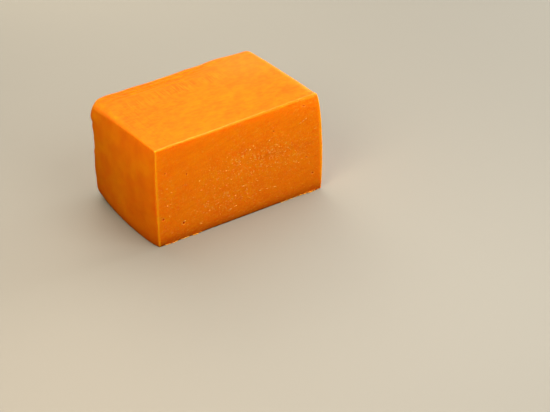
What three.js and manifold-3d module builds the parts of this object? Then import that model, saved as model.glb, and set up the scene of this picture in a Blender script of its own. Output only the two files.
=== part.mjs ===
// A block of red cheddar as it is sold by the piece: one solid, with one long wire-cut face and
// moulded faces everywhere else. The moulded edges are round at the back and run out sharp at the cut.
// Millimetres, +Z up. The cut face looks towards -Y and runs along X. The origin is the middle of the base.
import * as THREE from "three";
import { mergeVertices } from "three/addons/utils/BufferGeometryUtils.js";
import Module from "manifold-3d";

// Overall form
const LENGTH = 142.4; // along the cut face
const DEPTH = 93.9; // from the cut face to the back, at the right end
const HEIGHT = 82.8;
const SKEW = 5.3; // the back sits this far to the left of the cut, which was not made square
const BACK_TURN = 2.4; // the block is this much shallower at its left end
const LEAN = 2.4; // the right end of the cut leans back towards its top
const ROLL = 2.4; // the top right corner of the cut rolls back by this much more
const ROLL_SHARPNESS = { along: 4, up: 12 }; // higher values keep the roll nearer to the corner
const SHOULDER = 1.7; // the top falls off at its right end, most of all at the cut
const SHOULDER_SHARPNESS = 14; // higher values keep the fall nearer to the right end
const TUCK = 1.4; // the left end tucks in towards its top

// Bulge of each moulded face
const LEFT_CROWN = 1.5; // outward swell of an end in plan
const RIGHT_CROWN = 0.45;
const LEFT_BELLY = 1.2; // outward swell of an end in height
const RIGHT_BELLY = 2.0;
const BACK_CROWN = 1.55;
const FOOT_SLUMP = 1.4; // the foot of the left end sags outward under the block's own weight
const LEFT_TURN = 1.3; // the left end turns in at the cut
const TURN_REACH = 14; // how far back from the cut that turn begins
const TOP_EDGE_SHARPNESS = 4; // higher values keep the straight top edge of the left end nearer to the top
const FOOT_TURN = 0.5; // the foot of the cut turns in
const FOOT_HEIGHT = 7; // how high that turn reaches

// Edge radius at each corner: the radius along an edge runs from one corner's value to the next, and grows
// faster towards the back
const CORNER_RADII = {
  cut: { bottomLeft: 0.7, bottomRight: 0.8, topLeft: 0.7, topRight: 1.1 },
  back: { bottomLeft: 9.0, bottomRight: 7.0, topLeft: 7.5, topRight: 7.3 },
};

// Waves that the packing film pressed into the edges: place, how far out, and how far along the edge
const BACK_LEFT_WAVES = [
  { at: 70, out: 2.0, reach: 6 },
  { at: 50, out: -0.5, reach: 5 },
  { at: 25, out: 0.8, reach: 10 },
  { at: 11, out: 0.5, reach: 6 },
]; // at a height, down the upright edge
const BACK_TOP_WAVES = [
  { at: 9, out: 1.2, reach: 10 },
  { at: 29, out: 0.65, reach: 12 },
  { at: 78, out: 0.4, reach: 8 },
  { at: 105, out: 1.0, reach: 12 },
]; // at a place along X from the left end of the cut, on the top edge
const WAVE_TURN = 5; // how tightly a wave keeps to its edge

// Burr that the wire pushed out along the foot of the cut, at places along X from its left end
const BURRS = [
  { at: 11, out: 0.6, reach: 5 },
  { at: 32, out: 0.6, reach: 5 },
  { at: 134, out: 0.9, reach: 9 },
];
const BURR_HEIGHT = 1.2;

// The base is a little hollow, and stands on four low swellings, one near each corner
const BASE_HOLLOW = 0.6;
const SWELLING_INSET = 4; // grid lines in from each side
const SWELLING_REACH = 0.12; // as a share of half the block

// Pits that the knit curd left open in the cut: place along X from its left end, height, and size
const PITS = [
  { along: 100.9, up: 64.8, wide: 1.5, high: 1.5, deep: 1.3 },
  { along: 129.6, up: 32.4, wide: 2.0, high: 1.2, deep: 1.2 },
  { along: 4.8, up: 23.2, wide: 1.6, high: 2.2, deep: 1.3 },
  { along: 20.8, up: 13.9, wide: 2.2, high: 3.0, deep: 1.7 },
  { along: 25.7, up: 55.1, wide: 1.5, high: 1.7, deep: 1.1 },
  { along: 128.4, up: 76.8, wide: 2.4, high: 1.5, deep: 1.0 },
  { along: 134.6, up: 16.6, wide: 2.6, high: 2.8, deep: 1.2 },
  { along: 8.2, up: 61.8, wide: 1.4, high: 1.2, deep: 1.0 },
];

// Film creases in the top, near its back edge: middle along X and back from the cut, length and width
const CREASES = [
  { along: 52, back: 86.3, long: 92, wide: 1.8, deep: 0.4 },
  { along: 55, back: 83, long: 88, wide: 1.8, deep: 0.6 },
  { along: 52, back: 79.8, long: 68, wide: 1.6, deep: 0.4 },
  { along: 62, back: 76.9, long: 44, wide: 1.6, deep: 0.3 },
];
const CREASE_TURN = 0.012; // radians; the creases run with the back edge
const CREASE_LIFT = 0.12; // a crease's tool stands out of the top by this much, so that its rim is clear of it

// Pale annatto orange with a waxy sheen
const CHEDDAR_COLOUR = 0xf08a1e;
const CHEDDAR_ROUGHNESS = 0.48;

// Grid of the surface: more lines near the edges, where it turns
const LINES = { x: 32, y: 22, z: 20 };
const EDGE_CROWDING = 0.72; // 0 spaces the lines evenly, 1 packs them at the edges
const PIT_DETAIL = 1; // times an icosahedron is divided for a pit
const CREASE_SIDES = { around: 8, along: 12 };

const half = { x: LENGTH / 2, y: DEPTH / 2 };
const wasm = await Module();
wasm.setup();

const lerp = THREE.MathUtils.lerp;
const clamp = THREE.MathUtils.clamp;
const crowd = (t) => lerp(t, Math.sin((t * Math.PI) / 2), EDGE_CROWDING);
const hump = (t) => Math.exp(-t * t);
const wavesAt = (waves, t) =>
  waves.reduce((sum, { at, out, reach }) => sum + out * hump((t - at) / reach), 0);

// Share, 0 to 1, of the way from the low side to the high side of the block, for a place from -1 to 1
const share = (t) => (t + 1) / 2;

// The edge radius near a place in the block, each coordinate from -1 to 1
function edgeRadius(u, v, w) {
  const onFace = ({ bottomLeft, bottomRight, topLeft, topRight }) =>
    lerp(
      lerp(bottomLeft, bottomRight, share(u)),
      lerp(topLeft, topRight, share(u)),
      share(w),
    );
  return lerp(onFace(CORNER_RADII.cut), onFace(CORNER_RADII.back), share(v) ** 2);
}

// The point of a round-edged box for a place on the unit box's surface
function roundEdged(u, v, w) {
  const radius = edgeRadius(u, v, w);
  const outer = new THREE.Vector3(half.x * u, half.y * v, HEIGHT * share(w));
  const inner = new THREE.Vector3(
    clamp(outer.x, radius - half.x, half.x - radius),
    clamp(outer.y, radius - half.y, half.y - radius),
    clamp(outer.z, radius, HEIGHT - radius),
  );
  return outer.sub(inner).setLength(radius).add(inner);
}

// How far the leaning cut stands back from its foot
const leanAt = (u, w) =>
  LEAN * share(u) * share(w) + ROLL * share(u) ** ROLL_SHARPNESS.along * share(w) ** ROLL_SHARPNESS.up;

// Swells, skews and leans the round-edged box to the block's own uneven form
function shapeForm(p, u, v, w) {
  const inPlan = 1 - v * v;
  const inHeight = 1 - w * w;
  const toRight = Math.max(u, 0);
  const toLeft = Math.max(-u, 0);
  const toBack = Math.max(v, 0);
  const belowTop = 1 - share(w) ** TOP_EDGE_SHARPNESS;
  const toCut = clamp(1 - (DEPTH * share(v)) / TURN_REACH, 0, 1);
  p.x += toRight * (RIGHT_CROWN * inPlan + RIGHT_BELLY * inHeight);
  p.x -= toLeft * (LEFT_CROWN * inPlan * belowTop + LEFT_BELLY * inHeight);
  p.x -= toLeft * FOOT_SLUMP * inPlan * share(-w) ** 2;
  p.x -= toLeft * LEFT_TURN * (1 - toCut ** 2) * share(-v) * belowTop;
  p.x += TUCK * share(-u) * share(w);
  p.x -= SKEW * share(v);
  p.y += toBack * BACK_CROWN * (1 - u * u);
  p.y -= toBack * BACK_TURN * share(-u);
  p.y += leanAt(u, w) * share(-v);
  p.z -= SHOULDER * share(u) ** SHOULDER_SHARPNESS * (1 - share(v) ** 2) * share(w);
}

// Waves down the back left edge and along the back top edge
function waveEdges(p, u, v, w) {
  const nearBack = hump((1 - v) * WAVE_TURN);
  const side = wavesAt(BACK_LEFT_WAVES, p.z) * nearBack * hump((1 + u) * WAVE_TURN);
  const top = wavesAt(BACK_TOP_WAVES, p.x + half.x) * nearBack * hump((1 - w) * WAVE_TURN);
  p.x -= side * Math.SQRT1_2;
  p.y += (side + top) * Math.SQRT1_2;
  p.z += top * Math.SQRT1_2;
}

// Turns in the foot of the cut, and raises a burr on it here and there
function shapeFoot(p, v) {
  const turned = FOOT_TURN * clamp(1 - p.z / FOOT_HEIGHT, 0, 1) ** 2;
  const raised = wavesAt(BURRS, p.x + half.x) * hump(p.z / BURR_HEIGHT);
  p.y += (turned - raised) * share(-v) ** 2;
}

// Lifts the base off the floor all over but at its four swellings, for a place on the even grid
function hollowBase(p, { x, y, z }) {
  if (z > -1) return;
  const near = (t, lines) => {
    const inset = (2 * SWELLING_INSET) / lines;
    return hump((1 - inset - Math.abs(t)) / SWELLING_REACH);
  };
  p.z += BASE_HOLLOW * (1 - near(x, LINES.x) * near(y, LINES.y));
}

// The block before its pits and creases are cut
function blockGeometry() {
  const geometry = new THREE.BoxGeometry(2, 2, 2, LINES.x, LINES.y, LINES.z);
  const places = geometry.getAttribute("position");
  const place = new THREE.Vector3();
  for (let i = 0; i < places.count; i++) {
    place.fromBufferAttribute(places, i);
    const [u, v, w] = place.toArray().map(crowd);
    const p = roundEdged(u, v, w);
    shapeForm(p, u, v, w);
    waveEdges(p, u, v, w);
    shapeFoot(p, v);
    hollowBase(p, place);
    places.setXYZ(i, p.x, p.y, p.z);
  }
  return geometry;
}

// A small egg-shaped tool for one pit, set into the leaning face of the cut
function pitGeometry({ along, up, wide, high, deep }) {
  const faceY = leanAt(along / half.x - 1, (2 * up) / HEIGHT - 1) - half.y;
  const egg = new THREE.IcosahedronGeometry(1, PIT_DETAIL);
  return egg.scale(wide / 2, deep, high / 2).translate(along - half.x, faceY, up);
}

// A long thin lens-shaped tool for one crease, lying in the top with its length along X
function creaseGeometry({ along, back, long, wide, deep }) {
  const lens = new THREE.SphereGeometry(1, CREASE_SIDES.around, CREASE_SIDES.along);
  return lens
    .rotateZ(Math.PI / 2)
    .scale(long / 2, wide / 2, deep + CREASE_LIFT)
    .rotateZ(CREASE_TURN)
    .translate(along - half.x, back - half.y, HEIGHT + CREASE_LIFT);
}

// The closed solid inside a geometry whose points meet all round
function solidOf(geometry) {
  geometry.deleteAttribute("normal");
  geometry.deleteAttribute("uv");
  const closed = mergeVertices(geometry);
  return new wasm.Manifold(
    new wasm.Mesh({
      numProp: 3,
      vertProperties: new Float32Array(closed.getAttribute("position").array),
      triVerts: new Uint32Array(closed.index.array),
    }),
  );
}

// The triangles of a solid
function geometryOf(solid) {
  const { vertProperties, triVerts } = solid.getMesh();
  return new THREE.BufferGeometry()
    .setAttribute("position", new THREE.BufferAttribute(vertProperties, 3))
    .setIndex(new THREE.BufferAttribute(triVerts, 1));
}

// The whole block, pits and creases cut, with the middle of its base at the origin
function cheeseBlock() {
  const tools = [...PITS.map(pitGeometry), ...CREASES.map(creaseGeometry)];
  const solid = tools.reduce(
    (left, tool) => left.subtract(solidOf(tool)),
    solidOf(blockGeometry()),
  );
  const geometry = geometryOf(solid);
  geometry.computeBoundingBox();
  const { min, max } = geometry.boundingBox;
  geometry.translate(-(min.x + max.x) / 2, -(min.y + max.y) / 2, -min.z);
  geometry.computeVertexNormals();
  const cheddar = new THREE.MeshStandardMaterial({
    color: CHEDDAR_COLOUR,
    roughness: CHEDDAR_ROUGHNESS,
    metalness: 0,
  });
  const mesh = new THREE.Mesh(geometry, cheddar);
  mesh.name = "cheese_block";
  return mesh;
}

const block = new THREE.Group();
block.add(cheeseBlock());

export default block;
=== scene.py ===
import math
from random import Random

import bmesh
import bpy
import numpy as np
from bpy.props import FloatProperty, FloatVectorProperty, IntProperty, PointerProperty
from mathutils import Matrix, Vector, noise


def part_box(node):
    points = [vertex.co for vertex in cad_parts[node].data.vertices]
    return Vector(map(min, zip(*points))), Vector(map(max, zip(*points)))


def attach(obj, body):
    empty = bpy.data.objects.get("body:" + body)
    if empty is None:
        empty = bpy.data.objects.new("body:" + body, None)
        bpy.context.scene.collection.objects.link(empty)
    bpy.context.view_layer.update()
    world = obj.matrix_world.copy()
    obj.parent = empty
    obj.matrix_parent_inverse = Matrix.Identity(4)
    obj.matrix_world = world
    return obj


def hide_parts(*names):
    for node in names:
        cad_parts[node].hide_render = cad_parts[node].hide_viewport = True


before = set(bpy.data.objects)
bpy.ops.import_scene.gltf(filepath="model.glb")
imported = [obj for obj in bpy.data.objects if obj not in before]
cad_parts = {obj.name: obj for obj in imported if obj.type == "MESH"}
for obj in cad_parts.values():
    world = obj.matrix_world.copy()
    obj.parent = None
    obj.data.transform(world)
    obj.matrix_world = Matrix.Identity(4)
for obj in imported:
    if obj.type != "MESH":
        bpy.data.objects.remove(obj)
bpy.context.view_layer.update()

bl_info = {
    "name": "Red cheddar block",
    "version": (1, 0, 0),
    "blender": (4, 5, 0),
    "location": "3D View > Sidebar > Cheddar",
    "description": "Models a wire-cut block of red cheddar with its crumbs, on a plain studio stage",
    "category": "Add Mesh",
}

NODE = "cheese_block"
BODY = "root"
MM = 0.001

# Edges that turn more than this stay sharp in the shading
SHARP_ANGLE = math.radians(50)

# All places below are millimetres: along X from the left end of the cut, back from the cut, and up from
# the floor.

# Edge radius at each corner of the block, at the cut and at the back
CUT_RADII = {"bottom_left": 0.7, "bottom_right": 0.8, "top_left": 0.7, "top_right": 1.1}
BACK_RADII = {"bottom_left": 9.0, "bottom_right": 7.0, "top_left": 7.5, "top_right": 7.3}

# Waves that the packing film pressed into the edges: place, how far out, and how far along the edge
BACK_LEFT_WAVES = [(70, 2.0, 6), (50, -0.5, 5), (25, 0.8, 10), (11, 0.5, 6)]
LIP_WAVES = [(66, -0.6, 1.7), (61, 0.5, 2.6), (51, 0.3, 2), (44, -0.4, 1.8), (40, 0.4, 2)]
BACK_TOP_WAVES = [(9, 1.2, 10), (29, 0.65, 12), (78, 0.4, 8), (105, 1.0, 12)]

# How close those waves keep to their edge
WAVE_SHARPNESS = 5

# How strongly the grid's lines draw together at the edges, where the form turns: 0 not at all, 1 fully
EDGE_CROWDING = 0.6

# How far back the left end's turn at the cut reaches
TURN_REACH = 14

# How close the straight top edge of the left end keeps to the top
TOP_EDGE_SHARPNESS = 4

# Burr that the wire pushed out along the foot of the cut: place along X, how far out, and how far along
BURRS = [(11, 0.6, 5), (32, 0.6, 5), (134, 0.9, 9)]
BURR_HEIGHT = 0.9

# How high the turn of the foot of the cut reaches
FOOT_HEIGHT = 7

# How close the roll of the top right corner of the cut keeps to it: along the cut and upwards
ROLL_SHARPNESS = (4, 12)

# How close the fall of the top keeps to its right end
SHOULDER_SHARPNESS = 14

# How finely the form is measured, in points along each side, to set it in its solid's box
MEASURED_POINTS = 81

# Relief of the moulded skin, of the top that lay under film and of the cut that the wire made:
# height, size along X, Y and Z, and start of its noise
SKIN_RELIEF = {
    "moulded": (0.10, (11, 11, 11), 3.1),
    "film": (0.06, (6, 1.9, 6), 8.7),
    "wire": (0.035, (22, 8, 1.6), 5.2),
}

# How close each relief keeps to the faces that look its way
FACING_SHARPNESS = 4

# Uneven ridge that the wire pushed up along the top edge of the cut
TOP_RIDGE = {"height": 0.35, "back": 0.3, "reach": 0.8, "mean": 0.6, "size": (7, 7, 7), "start": 1.4}

# Raised tip at the top right corner of the cut
CORNER_TIP = {"height": 0.9, "along": 3.5, "back": 5}

# Pits in the cut: along, up, width, height, depth
PITS = [
    (100.9, 64.8, 1.5, 1.5, 0.9),
    (129.6, 32.4, 1.8, 1.1, 0.7),
    (4.8, 23.2, 1.5, 2.2, 1.0),
    (20.8, 13.9, 2.2, 2.6, 1.3),
    (25.7, 55.1, 1.5, 1.7, 0.8),
    (128.4, 76.8, 2.4, 1.5, 0.6),
    (134.6, 16.6, 2.4, 1.8, 0.7),
    (8.2, 61.8, 1.4, 1.2, 0.7),
]

# Unevenness of the pits: share of their width, and bumps for each millimetre
PIT_ROUGHNESS = 0.16
PIT_BUMPS = 1.1

# Painted highlight on the rim of a pit: middle and reach in half widths of the pit, depth behind the cut, and
# strength for each millimetre of its width. Painted shade on its deep orange wall: reach in half widths,
# depth in shares of the pit's depth, and the depths behind the cut where it starts and is full.
PIT_RIM_HIGHLIGHT = {"middle": 1.2, "reach": 0.3, "skin": 0.3, "strength": 0.12}
PIT_WALL_SHADE = {"reach": 1.3, "depth": 1.5, "fade": (0.15, 0.6)}

# Film creases in the top: middle along X, back, half length, width and depth
CREASES = [
    (52, 86.3, 46, 1.0, 0.8),
    (55, 83.0, 44, 1.0, 1.0),
    (52, 79.8, 34, 0.9, 0.75),
    (62, 76.9, 22, 0.9, 0.55),
]

# How far the creases wander, the length that sets their waves, and the painted shade in them for each
# millimetre of depth
CREASE_WANDER = 0.5
CREASE_WAVE = 17
CREASE_SHADE = 0.15

# Groups of fine film wrinkles across the top, with painted shade in their bottoms and painted highlights on
# their crests: middle along X and back, reach along X and back, and strength
WRINKLES = [(25, 66, 15, 8, 0.6), (45, 68, 8, 7, 0.6), (62, 69, 10, 7, 1.0), (88, 68, 12, 6, 0.9)]

# Denser patches that show through the top, and a broad painted shade over its left part, laid out in the same
# way
BLOTCHES_AND_SHADE = [
    (127, 20, 7, 8, 0.26),
    (126, 46, 6, 6, 0.12),
    (107, 44, 6, 5, 0.08),
    (94, 51, 8, 5, 0.08),
    # Broad painted shade over the left part of the top
    (24, 50, 26, 40, 0.1),
]

# Broad painted sheen at the back right of the top, laid out in the same way
PAINTED_SHEEN_PATCHES = [(122, 80, 32, 30, 0.13)]

# Stretch of the top, near its left end, where the film was drawn tight along Y and its lines get painted
# shade: where it starts and ends
DRAWN = {"left": (0, 3), "right": (18, 30), "back": (60, 75)}

# Thin seams in the cut between lumps of curd: middle along X, middle up, reach along, reach up, and strength
SEAMS = [(94, 46.5, 8, 0.7, 0.15), (135, 31, 6, 0.6, 0.2), (83, 56, 9, 1.2, 0.1)]

# Line in the cut where two layers of curd knit: height at both ends, reach up, where it starts and strength
KNIT_LINE = {"left": 53, "right": 44, "reach": 3, "start": (66, 86), "strength": 0.1}

# Painted highlight along the wire's burr on the top edge of the cut, brightest at its middle
TOP_EDGE_HIGHLIGHT = {
    "back": 0.5,
    "reach": 0.45,
    "fade": (2.5, 1.2),
    "middle": 38,
    "spread": 42,
    "strength": (0.3, 0.75),
}

# Painted highlight along the right end of the top
RIGHT_HIGHLIGHT = {"inward": 1, "reach": 2.5, "strength": 0.3}

# How far the painted highlights along the edges reach, and how strongly they show beside the cut and along
# the top of the left end
EDGE_HIGHLIGHT_REACH = 0.8
EDGE_HIGHLIGHTS = {"left": 0.75, "right": 0.7, "top_left": 0.6}

# How far up the block the painted shade at its foot reaches
FOOT_SHADE_REACH = 6.5

# Depths below the top where its look starts and is full, and the same for its marks
TOP_LOOK = (6, 1.5)
TOP_SKIN = (3, 1)

# Depths behind the cut where its look starts to fade and is gone, and depth that its marks reach
CUT_LOOK = (0.5, 2.2)
CUT_SKIN = 1

# Smeared fat on the cut: share everywhere, added share in the bands of flecks, and depths where it ends
SMEARS = {"everywhere": 0.2, "in_bands": 1.6, "fade": (0.3, 1)}

# Torn flecks that show on the cut, larger than the rest: along, up, length and rise to the right
FLECKS = [
    (124.9, 63.8, 2.2, 0.4),
    (127.2, 64.8, 2.8, 0.4),
    (129.9, 65.9, 2.0, 0.4),
    (59.0, 45.8, 2.0, 0.1),
    (36.0, 45.4, 1.8, 0.2),
    (72.9, 53.6, 2.4, 0.1),
    (80.0, 56.3, 1.8, 0.1),
    (64.3, 53.3, 1.6, 0.1),
    (72.9, 27.4, 2.2, 0.1),
    (60.0, 23.3, 1.8, 0.2),
    (65.7, 21.6, 2.0, 0.2),
    (42.5, 22.8, 1.6, 0.1),
    (87.3, 18.1, 3.0, -0.1),
    (93.5, 17.5, 2.6, -0.1),
    (100.3, 16.8, 3.0, -0.1),
    (61.0, 11.4, 2.4, 0.2),
    (65.5, 12.3, 2.6, 0.2),
    (22.0, 15.7, 1.6, 0.0),
    (35.4, 8.0, 2.6, 0.3),
]

# Thickness and height of those flecks
FLECK_THICKNESS = 0.35
FLECK_HEIGHT = 0.65

# Bands of the cut where small flecks lie thickest: middle along, middle up, reach along, reach up, and share
FLECK_BANDS = [
    (78, 48, 36, 10, 0.38),
    (64, 22, 34, 9, 0.24),
    (9, 48, 6, 16, 0.05),
    (114, 36, 20, 16, 0.2),
    (71, 40, 60, 30, 0.25),
]

# Small flecks: how many at a share of 1, spread in shares of a band's reach, and distance from the edges
SMALL_FLECKS = 240
FLECK_SPREAD = 0.6
FLECK_MARGIN = {"side": 4, "foot": 3, "top": 4}

# Least and greatest sizes of a small fleck, and the middle and spread of its rise to the right
SMALL_FLECK = {"length": (0.6, 1.7), "thickness": 0.25, "height": (0.25, 0.4), "rise": (0.12, 0.15)}

# Stretches of the foot where crumbs of the burr lie: from and to along X, and how many
FOOT_STRETCHES = [(4, 36, 26), (104, 141, 34)]

# The same for a crumb, the place of its middle in shares of its height, and how high crumbs pile up
CRUMB = {"length": (0.6, 1.9), "thickness": (0.4, 0.9), "height": (0.3, 0.7), "rise": (0, 0.1)}
CRUMB_MIDDLE = 0.64
CRUMB_PILE = 0.3

# Unevenness of flecks and crumbs, in shares of their size
FLAKE_ROUGHNESS = 0.14

# Surface patterns, each a soft noise: size in millimetres along X, Y and Z, levels of finer detail,
# rise to the right in degrees, and the noise values that become 0 and 1
PATTERNS = {
    "curd": ((14, 14, 14), 5, 0, 0.3, 0.7),
    "film": ((4.6, 2.8, 2.8), 5, 0, 0.36, 0.64),
    "wire": ((8, 3, 2.2), 5, 12, 0.37, 0.63),
    "grain": ((1.3, 1.3, 1.3), 3, 0, 0.3, 0.7),
    "wrinkles": ((1.0, 11, 11), 1, 0, 0.48, 0.66),
    "crest_highlights": ((1.0, 11, 11), 1, 0, 0.48, 0.32),
    "drawn_lines": ((1.1, 14, 6), 1, 0, 0.48, 0.9),
    "smears": ((2.1, 1.2, 0.7), 2, 14, 0.57, 0.75),
}

# Size of the paler patches in torn curd
TORN_PATCH = 3

# How much of the film's streaks, the wire's streaks and the grain shows in the colour
FILM_SHARE = 0.65
WIRE_SHARE = 0.5
GRAIN_SHARE = 0.36

# Share of the streaks, beside the grain, in the finest relief
STREAK_RELIEF = 0.5

# Sockets of a Mix node that have the same names: its factor, two numbers, two colours and the mixed colour
FACTOR = 0
NUMBER_A = 2
NUMBER_B = 3
COLOUR_A = 6
COLOUR_B = 7
MIXED_COLOUR = 2

# Soft lights: place and width in metres, watts and tint. All of them face the block's middle.
LIT_POINT = Vector((0, 0, 0.04))
SOFTBOXES = {
    "front softbox": ((0.14, -0.38, 0.47), 0.35, 2.85, "#FFFFFF"),
    "left softbox": ((-0.32, -0.2, 0.46), 0.3, 3.45, "#FFE9CE"),
    "right softbox": ((1.1, -0.04, 0.22), 0.4, 15, "#FFFFFF"),
    "back softbox": ((0.15, 0.6, 0.32), 0.4, 3.4, "#FFF2DC"),
}

# Sun for the floor alone: where it comes from, and its spread in degrees
FLOOR_SUN = {"from": (0.5, 0.6, 0.9), "strength": 3.6, "spread": 80}

# Half the floor's width in metres
FLOOR_REACH = 4

# Pale dome: its strength, and the height above the horizon, from 0 to 1, where it is full
DOME_STRENGTH = 0.36
DOME_RISE = 0.1


def size(name, description, millimetres):
    """A length property, given in millimetres."""
    return FloatProperty(name=name, description=description, default=millimetres * MM, unit="LENGTH")


def angle(name, description, degrees):
    """An angle property, given in degrees."""
    return FloatProperty(name=name, description=description, default=math.radians(degrees), subtype="ANGLE")


def colour(name, description, hexadecimal):
    """A colour property, given as an sRGB hex value."""
    return FloatVectorProperty(
        name=name, description=description, default=linear(hexadecimal), subtype="COLOR", min=0, max=1, size=3
    )


def linear(hexadecimal):
    """The linear colour of an sRGB hex value such as #F08A1E."""
    parts = [int(hexadecimal[start : start + 2], 16) / 255 for start in (1, 3, 5)]
    return tuple(part / 12.92 if part <= 0.04045 else ((part + 0.055) / 1.055) ** 2.4 for part in parts)


class BlockForm(bpy.types.PropertyGroup):
    """Sizes of the block's own uneven form"""

    length: size("Length", "Along the cut face", 142.4)
    depth: size("Depth", "From the cut to the back, at the right end", 93.9)
    height: size("Height", "From the floor to the top", 82.8)
    skew: size("Skew", "How far the back sits to the left of the cut", 5.3)
    back_turn: size("Back turn", "How much shallower the block is at its left end", 2.4)
    lean: size("Lean", "How far the right end of the cut leans back towards its top", 2.4)
    roll: size("Roll", "How much further the top right corner of the cut rolls back", 2.4)
    shoulder: size("Shoulder", "How far the top falls off at its right end", 1.7)
    tuck: size("Tuck", "How far the left end tucks in towards its top", 1.4)
    left_crown: size("Left crown", "Swell of the left end in plan", 1.5)
    right_crown: size("Right crown", "Swell of the right end in plan", 0.45)
    left_belly: size("Left belly", "Swell of the left end in height", 1.2)
    right_belly: size("Right belly", "Swell of the right end in height", 2.0)
    back_crown: size("Back crown", "Swell of the back in plan", 1.55)
    foot_slump: size("Foot slump", "How far the foot of the left end sags outward", 1.4)
    left_turn: size("Left turn", "How far the left end turns in at the cut", 1.3)
    foot_turn: size("Foot turn", "How far the foot of the cut turns in", 0.5)
    spacing: size("Spacing", "Distance between the lines of the surface's grid", 0.9)
    seed: IntProperty(name="Seed", description="Start of the draws for flecks and crumbs", default=7, min=0)


class CheddarColours(bpy.types.PropertyGroup):
    """Colours of the cheese and of the stage"""

    body: colour("Body", "Annatto orange of the moulded faces", "#FE8D05")
    deep: colour("Deep", "Denser curd", "#EF7203")
    # Line: painted shade in the bottoms of film wrinkles and in the lines where the film was drawn tight
    line: colour("Line", "Bottoms of film wrinkles", "#DC6A02")
    # Ridge: painted highlight on the crests between film wrinkles
    ridge: colour("Ridge", "Crests between film wrinkles", "#FF9818")
    # Pale: smeared fat on the cut, painted highlights along the edges of the top and on pit rims, and a
    # painted sheen at the back right of the top
    pale: colour("Pale", "Smeared fat on the cut and along its edges", "#FFBE58")
    # Dark: painted shade at the foot, in the creases and over the left of the top, and the colour of the
    # seams and blotches
    dark: colour("Dark", "Damp foot of the block, its seams, creases and blotches", "#BC4C00")
    # Rim: painted highlight along the edges of the cut and of the left end
    rim: colour("Rim", "Dried edges of the cut and of the left end", "#FFAA10")
    # Pit: painted shade on the walls of the open pits
    pit: colour("Pit", "Walls of the open pits", "#E04A00")
    fleck: colour("Fleck", "Torn flecks on the cut", "#FFCC76")
    crumb: colour("Crumb", "Drying crumbs at the foot of the cut", "#FFD24C")
    floor: colour("Floor", "Plain pale floor", "#858176")


class StageSettings(bpy.types.PropertyGroup):
    """Camera of the studio stage"""

    target: FloatVectorProperty(
        name="Target",
        description="Where the camera looks",
        default=(0.03065, -0.04817, 0),
        subtype="TRANSLATION",
        size=3,
    )
    distance: size("Distance", "From the camera to its target", 1273)
    azimuth: angle("Azimuth", "Camera's turn to the left of the cut", 31.78)
    elevation: angle("Elevation", "Camera's height angle", 34.24)
    roll: angle("Roll", "Camera's tilt", -1.14)
    lens: FloatProperty(name="Lens", description="Focal length in millimetres", default=109.77, unit="CAMERA")


def share(place):
    """Share, 0 to 1, of the way across the block, for a place from -1 to 1."""
    return (place + 1) / 2


def lerp(low, high, part):
    """Goes from low to high as part goes from 0 to 1."""
    return low + (high - low) * part


def clamp(value, low, high):
    """The nearest number to value from low to high."""
    return min(max(value, low), high)


def hump(away):
    """Smooth hump: 1 in the middle, and almost nothing from 2 away."""
    return np.exp(-away * away)


def step(low, high, value):
    """Smooth rise from 0 at low to 1 at high."""
    part = np.clip((value - low) / (high - low), 0, 1)
    return part * part * (3 - 2 * part)


def crowd(places):
    """Draws the lines of a grid from -1 to 1 together at its ends."""
    return lerp(places, np.sin(places * math.pi / 2), EDGE_CROWDING)


def waves_at(waves, place):
    """How far the waves of an edge stand out at a place along it."""
    return sum(out * hump((place - at) / reach) for at, out, reach in waves)


def patches(places, across, along):
    """Soft patches on a face: middle across and along it, reach across and along it, and strength."""
    return sum(
        strength * hump((across - x) / wide) * hump((along - y) / long)
        for x, y, wide, long, strength in places
    )


def creases(along, back):
    """How deep the film creases are at each point of the top."""
    depths = np.zeros(len(along))
    for middle, line, half_length, width, deep in CREASES:
        fade = hump(((along - middle) / half_length) ** 2)
        wander = CREASE_WANDER * np.sin(along / CREASE_WAVE + line)
        depths += deep * fade * hump((back - line - wander) / width)
    return depths


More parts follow.
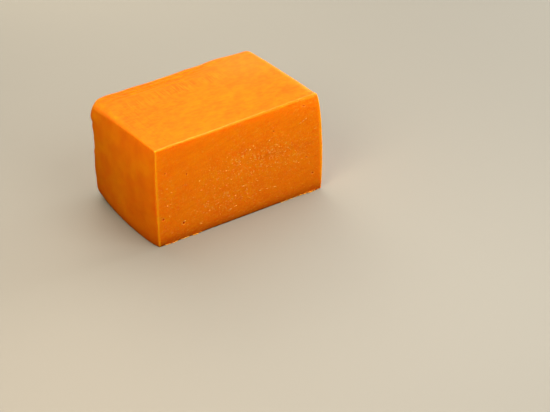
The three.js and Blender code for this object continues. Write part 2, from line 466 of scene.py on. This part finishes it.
class Form:
    """The block's form in millimetres, with X from the left end of the cut and Y back from its foot.

    The letters u, v and w are places on a unit box, from -1 to 1 along X, Y and Z.
    """

    def __init__(self, settings):
        for name in BlockForm.__annotations__:
            if name != "seed":
                setattr(self, name, getattr(settings, name) / MM)

    def edge_radius(self, u, v, w):
        """Radius of the edges at a place on the unit box."""

        def on_face(radii):
            low = lerp(radii["bottom_left"], radii["bottom_right"], share(u))
            high = lerp(radii["top_left"], radii["top_right"], share(u))
            return lerp(low, high, share(w))

        return lerp(on_face(CUT_RADII), on_face(BACK_RADII), share(v) ** 2)

    def round_edged(self, u, v, w):
        """Points of a round-edged box for places on the unit box."""
        radius = self.edge_radius(u, v, w)[:, None]
        sizes = np.array([self.length, self.depth, self.height])
        outer = share(np.stack([u, v, w], axis=1)) * sizes
        inner = np.clip(outer, radius, sizes - radius)
        away = outer - inner
        return inner + away / np.linalg.norm(away, axis=1, keepdims=True) * radius

    def lean_at(self, u, w):
        """How far the cut leans back at a place on the unit box."""
        sharp_along, sharp_up = ROLL_SHARPNESS
        return self.lean * share(u) * share(w) + self.roll * share(u) ** sharp_along * share(w) ** sharp_up

    def foot_at(self, along, up):
        """How far the foot of the cut turns in, less the burr that the wire left on it."""
        turned = self.foot_turn * np.clip(1 - up / FOOT_HEIGHT, 0, 1) ** 2
        return turned - waves_at(BURRS, along) * hump(up / BURR_HEIGHT)

    def cut_at(self, along, up):
        """How far back the cut stands at a place on it."""
        u = 2 * along / self.length - 1
        w = 2 * up / self.height - 1
        return self.lean_at(u, w) + self.foot_at(along, up)

    def front_radius(self, along):
        """Radius of the top edge of the cut."""
        return lerp(CUT_RADII["top_left"], CUT_RADII["top_right"], np.clip(along / self.length, 0, 1))

    def near_top(self, up, depths):
        """Rises from 0 to 1 between two depths below the top."""
        start, full = depths
        return step(self.height - start, self.height - full, up)

    def shape(self, u, v, w):
        """Points of the block before any relief."""
        points = self.round_edged(u, v, w)
        in_plan = 1 - v * v
        in_height = 1 - w * w
        to_right = np.maximum(u, 0)
        to_left = np.maximum(-u, 0)
        to_back = np.maximum(v, 0)
        below_top = 1 - share(w) ** TOP_EDGE_SHARPNESS
        past_turn = 1 - np.clip(1 - share(v) * self.depth / TURN_REACH, 0, 1) ** 2
        points[:, 0] += to_right * (self.right_crown * in_plan + self.right_belly * in_height)
        points[:, 0] -= to_left * (self.left_crown * in_plan * below_top + self.left_belly * in_height)
        points[:, 0] -= to_left * self.foot_slump * in_plan * share(-w) ** 2
        points[:, 0] -= to_left * self.left_turn * past_turn * share(-v) * below_top
        points[:, 0] += self.tuck * share(-u) * share(w)
        points[:, 0] -= self.skew * share(v)
        points[:, 1] += to_back * self.back_crown * (1 - u * u)
        points[:, 1] -= to_back * self.back_turn * share(-u)
        points[:, 1] += self.lean_at(u, w) * share(-v)
        points[:, 2] -= self.shoulder * share(u) ** SHOULDER_SHARPNESS * (1 - share(v) ** 2) * share(w)
        self.wave_edges(points, u, v, w)
        points[:, 1] += self.foot_at(points[:, 0], points[:, 2]) * share(-v) ** 2
        return points

    def wave_edges(self, points, u, v, w):
        """Moves the back left and back top edges out, halfway between their two faces."""
        near_back = hump((1 - v) * WAVE_SHARPNESS)
        near_left = hump((1 + u) * WAVE_SHARPNESS)
        near_top = hump((1 - w) * WAVE_SHARPNESS)
        side = waves_at(BACK_LEFT_WAVES + LIP_WAVES, points[:, 2]) * near_back * near_left
        top = waves_at(BACK_TOP_WAVES, points[:, 0]) * near_back * near_top
        points[:, 0] -= side * math.sqrt(0.5)
        points[:, 1] += (side + top) * math.sqrt(0.5)
        points[:, 2] += top * math.sqrt(0.5)

    def frame_shift(self):
        """From the left foot of the cut to the frame's origin, so that the form sits in its solid's box."""
        low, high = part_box(NODE)
        line = np.linspace(-1, 1, MEASURED_POINTS)
        u, v, w = (places.ravel() for places in np.meshgrid(line, line, line, indexing="ij"))
        skin = np.maximum(np.maximum(abs(u), abs(v)), abs(w)) == 1
        points = self.shape(u[skin], v[skin], w[skin]) * MM
        middle = (points.min(0) + points.max(0)) / 2
        wanted = (low + high) / 2
        return Vector((wanted.x - middle[0], wanted.y - middle[1], 0))


def new_piece(name, bm):
    """A new object in the scene, from a bmesh that it uses up."""
    mesh = bpy.data.meshes.new(name)
    bm.to_mesh(mesh)
    bm.free()
    piece = bpy.data.objects.new(name, mesh)
    bpy.context.scene.collection.objects.link(piece)
    return piece


def finish_piece(piece, form, material):
    """Moves a piece from the cut's corner in millimetres to the frame in metres, and gives it its finish."""
    piece.data.transform(Matrix.Translation(form.frame_shift()) @ Matrix.Scale(MM, 4))
    piece.data.update()
    piece.data.materials.append(material)
    piece.data.shade_smooth()
    piece.data.set_sharp_from_angle(angle=SHARP_ANGLE)
    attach(piece, BODY)


def grid_box(form):
    """A unit box whose faces are divided to the form's spacing."""
    bm = bmesh.new()
    bmesh.ops.create_cube(bm, size=2)
    for axis, length in enumerate((form.length, form.depth, form.height)):
        runs = [edge for edge in bm.edges if abs(edge.verts[0].co[axis] - edge.verts[1].co[axis]) > 1]
        bmesh.ops.subdivide_edges(bm, edges=runs, cuts=round(length / form.spacing), use_grid_fill=True)
    return new_piece("cheddar_block", bm)


def vectors_of(mesh, name):
    """The places, co, or the ways faced, normal, of all points of a mesh."""
    flat = np.empty(len(mesh.vertices) * 3)
    mesh.vertices.foreach_get(name, flat)
    return flat.reshape(-1, 3)


def set_points(mesh, points):
    """Moves the points of a mesh to new places."""
    mesh.vertices.foreach_set("co", points.ravel())
    mesh.update()


def streaks(points, lengths, start):
    """Soft noise over the points, stretched to the given lengths along X, Y and Z."""
    scaled = points / np.array(lengths) + start
    return np.array([noise.noise(point) for point in scaled])


def add_relief(mesh, form):
    """Presses film creases, soft mottling and wire marks into the smooth form, along its normals."""
    points = vectors_of(mesh, "co")
    along, back, up = points.T
    normals = vectors_of(mesh, "normal")
    facing_up = np.clip(normals[:, 2], 0, 1) ** FACING_SHARPNESS
    facing_front = np.clip(-normals[:, 1], 0, 1) ** FACING_SHARPNESS
    moulded = 1 - np.clip(facing_front + np.clip(-normals[:, 2], 0, 1), 0, 1)
    height = np.zeros(len(points))
    for name, face in {"moulded": moulded, "film": facing_up, "wire": facing_front}.items():
        rise, lengths, start = SKIN_RELIEF[name]
        height += rise * face * streaks(points, lengths, start)
    depth = back - form.cut_at(along, up)
    ridge = hump((depth - form.front_radius(along) - TOP_RIDGE["back"]) / TOP_RIDGE["reach"])
    ridge *= TOP_RIDGE["mean"] + streaks(points, TOP_RIDGE["size"], TOP_RIDGE["start"])
    height += TOP_RIDGE["height"] * ridge * form.near_top(up, TOP_SKIN)
    tip = CORNER_TIP["height"] * facing_up * hump((along - form.length) / CORNER_TIP["along"])
    height += tip * hump(depth / CORNER_TIP["back"])
    height -= facing_up * creases(along, back)
    set_points(mesh, points + normals * height[:, None])


def cut_pits(block, form):
    """Takes an egg-shaped pit out of the cut at each of its places."""
    bm = bmesh.new()
    for along, up, wide, high, deep in PITS:
        place = Matrix.Translation((along, form.cut_at(along, up), up))
        egg = place @ Matrix.Diagonal((wide / 2, deep, high / 2, 1))
        points = bmesh.ops.create_icosphere(bm, subdivisions=2, radius=1, matrix=egg)["verts"]
        for point in points:
            point.co += noise.noise_vector(point.co * PIT_BUMPS) * wide * PIT_ROUGHNESS
    tools = new_piece("pit_tools", bm)
    boolean = block.modifiers.new("Pits", "BOOLEAN")
    boolean.operation = "DIFFERENCE"
    boolean.solver = "MANIFOLD"
    boolean.object = tools
    cut = bpy.data.meshes.new_from_object(block.evaluated_get(bpy.context.evaluated_depsgraph_get()))
    block.modifiers.remove(boolean)
    smooth = block.data
    tool_mesh = tools.data
    block.data = cut
    bpy.data.objects.remove(tools)
    bpy.data.meshes.remove(tool_mesh)
    bpy.data.meshes.remove(smooth)
    cut.name = "cheddar_block"
    cut.materials.clear()


def edge_highlight_marks(form, along, up, depth, normals):
    """Where edges get a painted highlight: down both sides of the cut, and along the top of the left end."""
    at_cut = hump(np.clip(depth, 0, None) / EDGE_HIGHLIGHT_REACH)
    left = hump((along - form.tuck * up / form.height) / EDGE_HIGHLIGHT_REACH)
    right = step(form.length - 2 * EDGE_HIGHLIGHT_REACH, form.length, along)
    top_left = np.clip(-normals[:, 0], 0, 1) * np.clip(normals[:, 2], 0, 1)
    rims = at_cut * (EDGE_HIGHLIGHTS["left"] * left + EDGE_HIGHLIGHTS["right"] * right) + EDGE_HIGHLIGHTS["top_left"] * top_left
    return np.clip(rims, 0, 1)


def dark_marks(form, along, back, up, depth):
    """Where the block is darker: painted shade at the foot, in the creases and over the left of the top, and
    seams in the cut and blotches in the top.
    """
    level = lerp(KNIT_LINE["left"], KNIT_LINE["right"], along / form.length)
    knit = hump((up - level) / KNIT_LINE["reach"]) * KNIT_LINE["strength"] * step(*KNIT_LINE["start"], along)
    in_cut = (knit + patches(SEAMS, along, up)) * (depth < CUT_SKIN)
    # Painted shade in the creases of the top, and the blotches, of which the broad one over its left part is
    # painted shade
    in_top = patches(BLOTCHES_AND_SHADE, along, back) + CREASE_SHADE * creases(along, back)
    # The first term is painted shade that darkens the foot of the block, fading upwards
    return np.exp(-up / FOOT_SHADE_REACH) + in_cut + in_top * form.near_top(up, TOP_SKIN)


def pale_marks(form, along, back, up, depth):
    """Where the top is painted paler: a painted highlight along the edge of the cut and along the right end
    of the top, and a painted sheen at the back right of the top.
    """
    # Painted highlight along the burr on the top edge of the cut
    top_edge_highlight = hump((depth - form.front_radius(along) - TOP_EDGE_HIGHLIGHT["back"]) / TOP_EDGE_HIGHLIGHT["reach"])
    top_edge_highlight *= form.near_top(up, TOP_EDGE_HIGHLIGHT["fade"])
    top_edge_highlight *= lerp(*TOP_EDGE_HIGHLIGHT["strength"], hump((along - TOP_EDGE_HIGHLIGHT["middle"]) / TOP_EDGE_HIGHLIGHT["spread"]))
    inward = form.length - form.skew * back / form.depth - along
    # Painted highlight along the right end of the top
    right_highlight = RIGHT_HIGHLIGHT["strength"] * hump((inward - RIGHT_HIGHLIGHT["inward"]) / RIGHT_HIGHLIGHT["reach"])
    # With the painted sheen at the back right of the top
    return top_edge_highlight + (right_highlight + patches(PAINTED_SHEEN_PATCHES, along, back)) * form.near_top(up, TOP_SKIN)


def pit_marks(along, up, depth):
    """Where the pits get a painted highlight on their rims, and painted shade on their walls."""
    rims = np.zeros(len(along))
    walls = np.zeros(len(along))
    for pit_along, pit_up, wide, high, deep in PITS:
        away = np.hypot((along - pit_along) / wide * 2, (up - pit_up) / high * 2)
        rim = hump((away - PIT_RIM_HIGHLIGHT["middle"]) / PIT_RIM_HIGHLIGHT["reach"]) * (depth < PIT_RIM_HIGHLIGHT["skin"])
        rims += rim * PIT_RIM_HIGHLIGHT["strength"] * wide
        inside = (away < PIT_WALL_SHADE["reach"]) * (depth < deep * PIT_WALL_SHADE["depth"])
        walls += inside * step(*PIT_WALL_SHADE["fade"], depth)
    return rims, np.clip(walls, 0, 1)


def mark_surface(mesh, form):
    """Keeps, at each point of the mesh, what lies there, for its material to read."""
    along, back, up = vectors_of(mesh, "co").T
    normals = vectors_of(mesh, "normal")
    depth = back - form.cut_at(along, up)
    on_top = form.near_top(up, TOP_SKIN)
    pit_rim_highlights, pit_wall_shade = pit_marks(along, up, depth)
    smeared = SMEARS["everywhere"] + SMEARS["in_bands"] * patches(FLECK_BANDS, along, up)
    drawn = on_top * step(*DRAWN["left"], along)
    drawn = drawn * (1 - step(*DRAWN["right"], along)) * (1 - step(*DRAWN["back"], back))
    marks = {
        "cut": 1 - step(*CUT_LOOK, depth),
        "top": form.near_top(up, TOP_LOOK),
        # Painted highlight along the edges
        "rim": edge_highlight_marks(form, along, up, depth, normals),
        "dark": dark_marks(form, along, back, up, depth),
        "smear": np.clip(smeared, 0, 1) * (1 - step(*SMEARS["fade"], depth)),
        # Painted highlights along the edges of the top and on pit rims, and a painted sheen at the back right
        # of the top
        "burr": np.clip(pale_marks(form, along, back, up, depth) + pit_rim_highlights, 0, 1),
        # Painted shade on the walls of the pits
        "pit": pit_wall_shade,
        "wrinkle": np.clip(patches(WRINKLES, along, back), 0, 1) * on_top,
        "drawn": drawn,
    }
    for name, values in marks.items():
        attribute = mesh.attributes.new(name, "FLOAT", "POINT")
        attribute.data.foreach_set("value", values.astype(np.float32))


def add(tree, kind, inputs=None, out=0, **settings):
    """Adds a node with its settings, sets or links its inputs, and gives back one of its outputs."""
    node = tree.nodes.new(kind)
    for name, value in settings.items():
        setattr(node, name, value)
    for name, value in (inputs or {}).items():
        if isinstance(value, bpy.types.NodeSocket):
            tree.links.new(value, node.inputs[name])
        else:
            node.inputs[name].default_value = value
    return node.outputs[out] if node.outputs else None


def new_material(name):
    """An empty material and its node tree."""
    material = bpy.data.materials.new(name)
    material.use_nodes = True
    material.node_tree.nodes.clear()
    return material, material.node_tree


def cheddar_material(colours):
    """Annatto cheddar, moulded in film and wire cut.

    It is fatty and translucent, so its sheen is waxy and its edges glow.
    """
    material, tree = new_material("Red cheddar, film moulded and wire cut")
    place = add(tree, "ShaderNodeTexCoord", out="Object")
    cut, top, burr, rim, pit, wrinkle, drawn, smeared, dark = (
        add(tree, "ShaderNodeAttribute", out="Fac", attribute_name=name)
        for name in ("cut", "top", "burr", "rim", "pit", "wrinkle", "drawn", "smear", "dark")
    )
    pattern = {}
    for name, (lengths, detail, rise, low, high) in PATTERNS.items():
        turn = (0, -math.radians(rise), 0)
        scale = [length * MM for length in lengths]
        laid = {"Vector": place, "Rotation": turn, "Scale": scale}
        stretched = add(tree, "ShaderNodeMapping", laid, vector_type="TEXTURE")
        value = add(tree, "ShaderNodeTexNoise", {"Vector": stretched, "Scale": 1.0, "Detail": detail})
        pattern[name] = add(tree, "ShaderNodeMapRange", {"Value": value, "From Min": low, "From Max": high})
    curd = pattern["curd"]
    grain = pattern["grain"]

    # Knit curd everywhere, streaks pressed by the film on the top, streaks dragged by the wire on the cut
    film = add(tree, "ShaderNodeMix", {FACTOR: FILM_SHARE, NUMBER_A: curd, NUMBER_B: pattern["film"]})
    wire = add(tree, "ShaderNodeMix", {FACTOR: WIRE_SHARE, NUMBER_A: curd, NUMBER_B: pattern["wire"]})
    wire = add(tree, "ShaderNodeMix", {FACTOR: GRAIN_SHARE, NUMBER_A: wire, NUMBER_B: grain})
    streak = add(tree, "ShaderNodeMix", {FACTOR: top, NUMBER_A: curd, NUMBER_B: film})
    streak = add(tree, "ShaderNodeMix", {FACTOR: cut, NUMBER_A: streak, NUMBER_B: wire})

    # Painted shade in fine film wrinkles in groups and in lines where the film was drawn tight, and painted
    # highlights on the crests between the wrinkles
    lines = add(tree, "ShaderNodeMath", {0: pattern["wrinkles"], 1: wrinkle}, operation="MULTIPLY")
    crest_highlights = add(tree, "ShaderNodeMath", {0: pattern["crest_highlights"], 1: wrinkle}, operation="MULTIPLY")
    pulled = add(tree, "ShaderNodeMath", {0: pattern["drawn_lines"], 1: drawn}, operation="MULTIPLY")
    lines = add(tree, "ShaderNodeMath", {0: lines, 1: pulled}, operation="MAXIMUM")

    # Fat smeared pale by the wire in specks on the cut, with painted highlights along the top edge of the
    # cut, along the right end of the top and on pit rims, and a painted sheen at the back right of the top
    smear = add(tree, "ShaderNodeMath", {0: pattern["smears"], 1: smeared}, operation="MULTIPLY")
    pale = add(tree, "ShaderNodeMath", {0: smear, 1: burr}, operation="MAXIMUM")

    body = (*colours.deep, 1)
    layers = (
        (streak, colours.body),
        # Painted shade at the foot, in the creases and over the left of the top, and the darker seams and
        # blotches
        (dark, colours.dark),
        # Painted shade in the wrinkles and drawn lines
        (lines, colours.line),
        # Painted highlight on the crests between wrinkles
        (crest_highlights, colours.ridge),
        # Smeared fat, painted highlights and painted sheen
        (pale, colours.pale),
        # Painted highlight along the edges
        (rim, colours.rim),
        # Painted shade on the walls of the pits
        (pit, colours.pit),
    )
    for part, tint in layers:
        mixed = {FACTOR: part, COLOUR_A: body, COLOUR_B: (*tint, 1)}
        body = add(tree, "ShaderNodeMix", mixed, out=MIXED_COLOUR, data_type="RGBA")

    # Relief too fine for the mesh: skin grain, streaks and wrinkles
    relief = add(tree, "ShaderNodeMix", {FACTOR: STREAK_RELIEF, NUMBER_A: grain, NUMBER_B: streak})
    relief = add(tree, "ShaderNodeMath", {0: relief, 1: lines}, operation="SUBTRACT")
    bump = add(tree, "ShaderNodeBump", {"Height": relief, "Strength": 0.35, "Distance": 0.2 * MM})
    shader = add(
        tree,
        "ShaderNodeBsdfPrincipled",
        {
            "Base Color": body,
            "Roughness": 0.5,
            "IOR": 1.45,
            "Specular IOR Level": 0.42,
            "Normal": bump,
            "Subsurface Weight": 1.0,
            "Subsurface Radius": (0.8, 0.5, 0.12),
            "Subsurface Scale": 4.5 * MM,
        },
    )
    add(tree, "ShaderNodeOutputMaterial", {"Surface": shader})
    return material


def torn_material(name, body, tint):
    """Torn cheddar curd: rough and a little dry, so it scatters more light and looks paler than the block."""
    material, tree = new_material(name)
    place = add(tree, "ShaderNodeTexCoord", out="Object")
    patchy = add(tree, "ShaderNodeTexNoise", {"Vector": place, "Scale": 1 / (TORN_PATCH * MM), "Detail": 2.0})
    mixed = {FACTOR: patchy, COLOUR_A: (*body, 1), COLOUR_B: (*tint, 1)}
    torn = add(tree, "ShaderNodeMix", mixed, out=MIXED_COLOUR, data_type="RGBA")
    shader = add(
        tree,
        "ShaderNodeBsdfPrincipled",
        {"Base Color": torn, "Roughness": 0.7, "IOR": 1.45, "Specular IOR Level": 0.3},
    )
    add(tree, "ShaderNodeOutputMaterial", {"Surface": shader})
    return material


def floor_material(colours):
    """Matt paper roll, with no pattern of its own."""
    material, tree = new_material("Matt paper floor")
    shader = add(tree, "ShaderNodeBsdfPrincipled", {"Base Color": (*colours.floor, 1), "Roughness": 0.9})
    add(tree, "ShaderNodeOutputMaterial", {"Surface": shader})
    return material


def add_flake(bm, form, along, up, lengths, rise, draws):
    """One torn flake, half sunk in the cut, with its length along X."""
    place = Matrix.Translation((along, form.cut_at(along, up), up))
    turn = Matrix.Rotation(-math.atan(rise), 4, "Y")
    flake = place @ turn @ Matrix.Diagonal((*(length / 2 for length in lengths), 1))
    for point in bmesh.ops.create_icosphere(bm, subdivisions=1, radius=1, matrix=flake)["verts"]:
        for axis, length in enumerate(lengths):
            point.co[axis] += draws.uniform(-FLAKE_ROUGHNESS, FLAKE_ROUGHNESS) * length


class CHEDDAR_OT_block(bpy.types.Operator):
    """Model the block with its creases, pits and wire marks"""

    bl_idname = "cheddar.block"
    bl_label = "Cheddar block"

    def execute(self, context):
        form = Form(context.scene.cheddar_form)
        block = grid_box(form)
        u, v, w = crowd(vectors_of(block.data, "co")).T
        set_points(block.data, form.shape(u, v, w))
        add_relief(block.data, form)
        cut_pits(block, form)
        mark_surface(block.data, form)
        finish_piece(block, form, cheddar_material(context.scene.cheddar_colours))
        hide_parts(NODE)
        return {"FINISHED"}


class CHEDDAR_OT_flecks(bpy.types.Operator):
    """Scatter the torn flecks of curd that stand out of the cut"""

    bl_idname = "cheddar.flecks"
    bl_label = "Curd flecks"

    def execute(self, context):
        settings = context.scene.cheddar_form
        colours = context.scene.cheddar_colours
        form = Form(settings)
        draws = Random(settings.seed)
        bm = bmesh.new()
        for along, up, long, rise in FLECKS:
            add_flake(bm, form, along, up, (long, FLECK_THICKNESS, FLECK_HEIGHT), rise, draws)
        for band in FLECK_BANDS:
            self.fill_band(bm, form, band, draws)
        flecks = new_piece("curd_flecks", bm)
        finish_piece(flecks, form, torn_material("Torn cheddar curd", colours.body, colours.fleck))
        return {"FINISHED"}

    def fill_band(self, bm, form, band, draws):
        """Small flecks in one band of the cut, thickest at its middle."""
        middle, level, reach, spread, part = band
        right = form.length - FLECK_MARGIN["side"]
        top = form.height - FLECK_MARGIN["top"]
        for _ in range(round(SMALL_FLECKS * part)):
            along = clamp(draws.gauss(middle, reach * FLECK_SPREAD), FLECK_MARGIN["side"], right)
            up = clamp(draws.gauss(level, spread * FLECK_SPREAD), FLECK_MARGIN["foot"], top)
            long = draws.uniform(*SMALL_FLECK["length"])
            high = draws.uniform(*SMALL_FLECK["height"])
            rise = draws.gauss(*SMALL_FLECK["rise"])
            add_flake(bm, form, along, up, (long, SMALL_FLECK["thickness"], high), rise, draws)


class CHEDDAR_OT_crumbs(bpy.types.Operator):
    """Lay the crumbs of the burr along the foot of the cut"""

    bl_idname = "cheddar.crumbs"
    bl_label = "Foot crumbs"

    def execute(self, context):
        settings = context.scene.cheddar_form
        colours = context.scene.cheddar_colours
        form = Form(settings)
        draws = Random(settings.seed + 1)
        bm = bmesh.new()
        for start, end, count in FOOT_STRETCHES:
            for _ in range(count):
                lengths = [draws.uniform(*CRUMB[name]) for name in ("length", "thickness", "height")]
                up = lengths[2] * CRUMB_MIDDLE + draws.uniform(0, CRUMB_PILE)
                along = draws.uniform(start, end)
                add_flake(bm, form, along, up, lengths, draws.gauss(*CRUMB["rise"]), draws)
        crumbs = new_piece("foot_crumbs", bm)
        finish_piece(crumbs, form, torn_material("Drying cheddar crumbs", colours.body, colours.crumb))
        return {"FINISHED"}


class CHEDDAR_OT_stage(bpy.types.Operator):
    """Make the floor, the soft lights and the camera"""

    bl_idname = "cheddar.stage"
    bl_label = "Studio stage"

    def execute(self, context):
        scene = context.scene
        bm = bmesh.new()
        bmesh.ops.create_grid(bm, x_segments=1, y_segments=1, size=FLOOR_REACH)
        floor = new_piece("floor", bm)
        floor.data.materials.append(floor_material(scene.cheddar_colours))
        floor.visible_diffuse = False
        floor.visible_glossy = False
        self.softboxes(scene)
        self.floor_sun(scene, floor)
        self.dome(scene)
        self.camera(scene, scene.cheddar_stage)
        scene.view_settings.view_transform = "Standard"
        return {"FINISHED"}

    def softboxes(self, scene):
        """Soft lights that aren't mirrored in the sheen."""
        for name, (place, width, watts, tint) in SOFTBOXES.items():
            data = bpy.data.lights.new(name, "AREA")
            data.shape = "SQUARE"
            data.size = width
            data.energy = watts
            data.color = linear(tint)
            softbox = self.lamp(scene, name, data, place)
            softbox.visible_glossy = False

    def floor_sun(self, scene, floor):
        """A soft sun that lights the floor alone."""
        data = bpy.data.lights.new("floor sun", "SUN")
        data.energy = FLOOR_SUN["strength"]
        data.angle = math.radians(FLOOR_SUN["spread"])
        sun = self.lamp(scene, "floor sun", data, FLOOR_SUN["from"])
        sun.light_linking.receiver_collection = bpy.data.collections.new("lit by the floor sun")
        sun.light_linking.receiver_collection.objects.link(floor)

    def lamp(self, scene, name, data, place):
        """A light that faces the block's middle."""
        lamp = bpy.data.objects.new(name, data)
        scene.collection.objects.link(lamp)
        lamp.location = place
        lamp.rotation_euler = (LIT_POINT - lamp.location).to_track_quat("-Z", "Y").to_euler()
        return lamp

    def dome(self, scene):
        """A pale sky, for the sheen alone."""
        scene.world = bpy.data.worlds.new("pale dome")
        scene.world.use_nodes = True
        scene.world.cycles_visibility.diffuse = False
        tree = scene.world.node_tree
        tree.nodes.clear()
        way = add(tree, "ShaderNodeTexCoord", out="Generated")
        up = add(tree, "ShaderNodeSeparateXYZ", {"Vector": way}, out="Z")
        rise = {"Value": up, "From Min": 0, "From Max": DOME_RISE, "To Max": DOME_STRENGTH}
        above = add(tree, "ShaderNodeMapRange", rise)
        sky = add(tree, "ShaderNodeBackground", {"Strength": above})
        add(tree, "ShaderNodeOutputWorld", {"Surface": sky})

    def camera(self, scene, settings):
        """A camera that looks down on the cut and the left end."""
        data = bpy.data.cameras.new("camera")
        data.lens = settings.lens
        data.sensor_fit = "HORIZONTAL"
        camera = bpy.data.objects.new("camera", data)
        scene.collection.objects.link(camera)
        turn = Matrix.Rotation(-settings.azimuth, 4, "Z")
        turn = turn @ Matrix.Rotation(math.pi / 2 - settings.elevation, 4, "X")
        turn = turn @ Matrix.Rotation(settings.roll, 4, "Z")
        away = Matrix.Translation((0, 0, settings.distance))
        camera.matrix_world = Matrix.Translation(settings.target) @ turn @ away
        scene.camera = camera


class CHEDDAR_PT_panel(bpy.types.Panel):
    """Lists the steps that make the cheddar block"""

    bl_idname = "CHEDDAR_PT_panel"
    bl_label = "Red cheddar block"
    bl_space_type = "VIEW_3D"
    bl_region_type = "UI"
    bl_category = "Cheddar"

    def draw(self, context):
        for operator in OPERATORS:
            self.layout.operator(operator.bl_idname)


GROUPS = {"cheddar_form": BlockForm, "cheddar_colours": CheddarColours, "cheddar_stage": StageSettings}
OPERATORS = (CHEDDAR_OT_block, CHEDDAR_OT_flecks, CHEDDAR_OT_crumbs, CHEDDAR_OT_stage)
CLASSES = (*GROUPS.values(), *OPERATORS, CHEDDAR_PT_panel)


def register():
    """Adds the classes and their settings."""
    for one in CLASSES:
        bpy.utils.register_class(one)
    for name, group in GROUPS.items():
        setattr(bpy.types.Scene, name, PointerProperty(type=group))


def unregister():
    """Takes the classes and their settings away."""
    for name in GROUPS:
        delattr(bpy.types.Scene, name)
    for one in reversed(CLASSES):
        bpy.utils.unregister_class(one)


def main():
    """Makes all pieces and the stage."""
    register()
    bpy.ops.cheddar.block()
    bpy.ops.cheddar.flecks()
    bpy.ops.cheddar.crumbs()
    bpy.ops.cheddar.stage()


if __name__ == "__main__":
    main()
